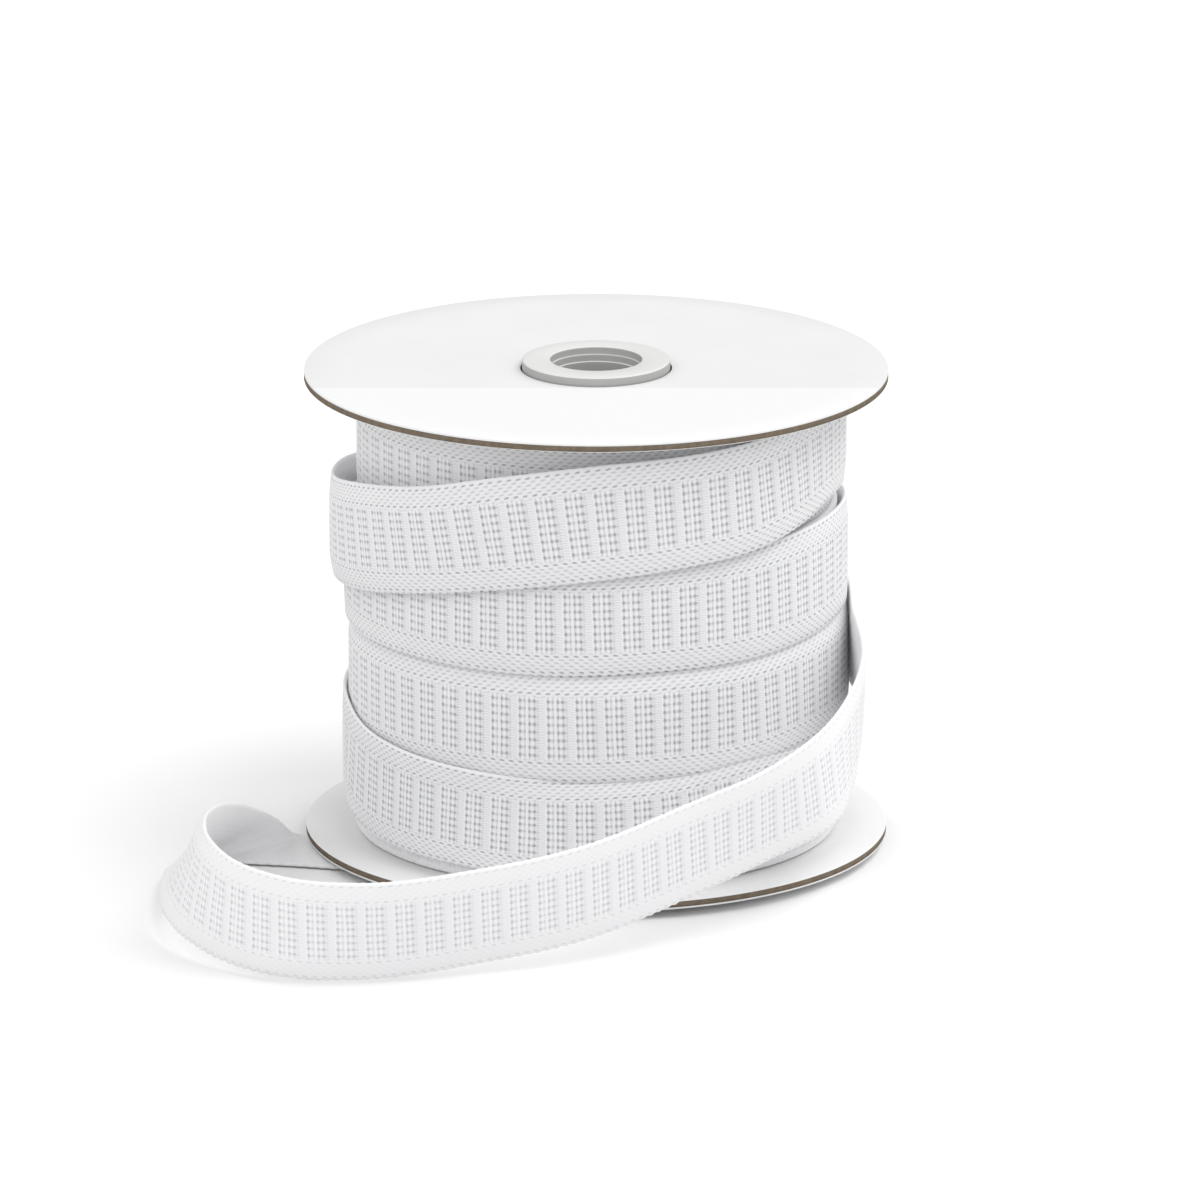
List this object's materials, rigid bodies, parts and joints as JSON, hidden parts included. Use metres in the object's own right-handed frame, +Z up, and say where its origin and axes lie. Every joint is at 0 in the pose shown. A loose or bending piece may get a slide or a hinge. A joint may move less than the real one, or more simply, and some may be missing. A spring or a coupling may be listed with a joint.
{
  "type": "roll of elastic",
  "caption": "Spool of wide flat braided elastic: two round card flanges on a hollow hub, the elastic wound between them, its loose end curling round to the front.",
  "frame": {"origin": "middle of the whole part's footprint, on the surface that it stands on", "axes": "+Z up along the spool's axis, -Y towards the front where the loose end lies, +X to the right"},
  "size_m": [0.1262, 0.1424, 0.0867],
  "materials": {
    "flange_card": "white coated paper over brown board, soft satin",
    "hub_plastic": "off-white moulded plastic, matte",
    "elastic": "white braided elastic with ribs and rows of small holes"
  },
  "bodies": {
    "root": {"hub": "hub_plastic", "flange_bottom": "flange_card", "flange_top": "flange_card", "roll": "elastic", "loose_end": "elastic"}
  },
  "joints": []
}
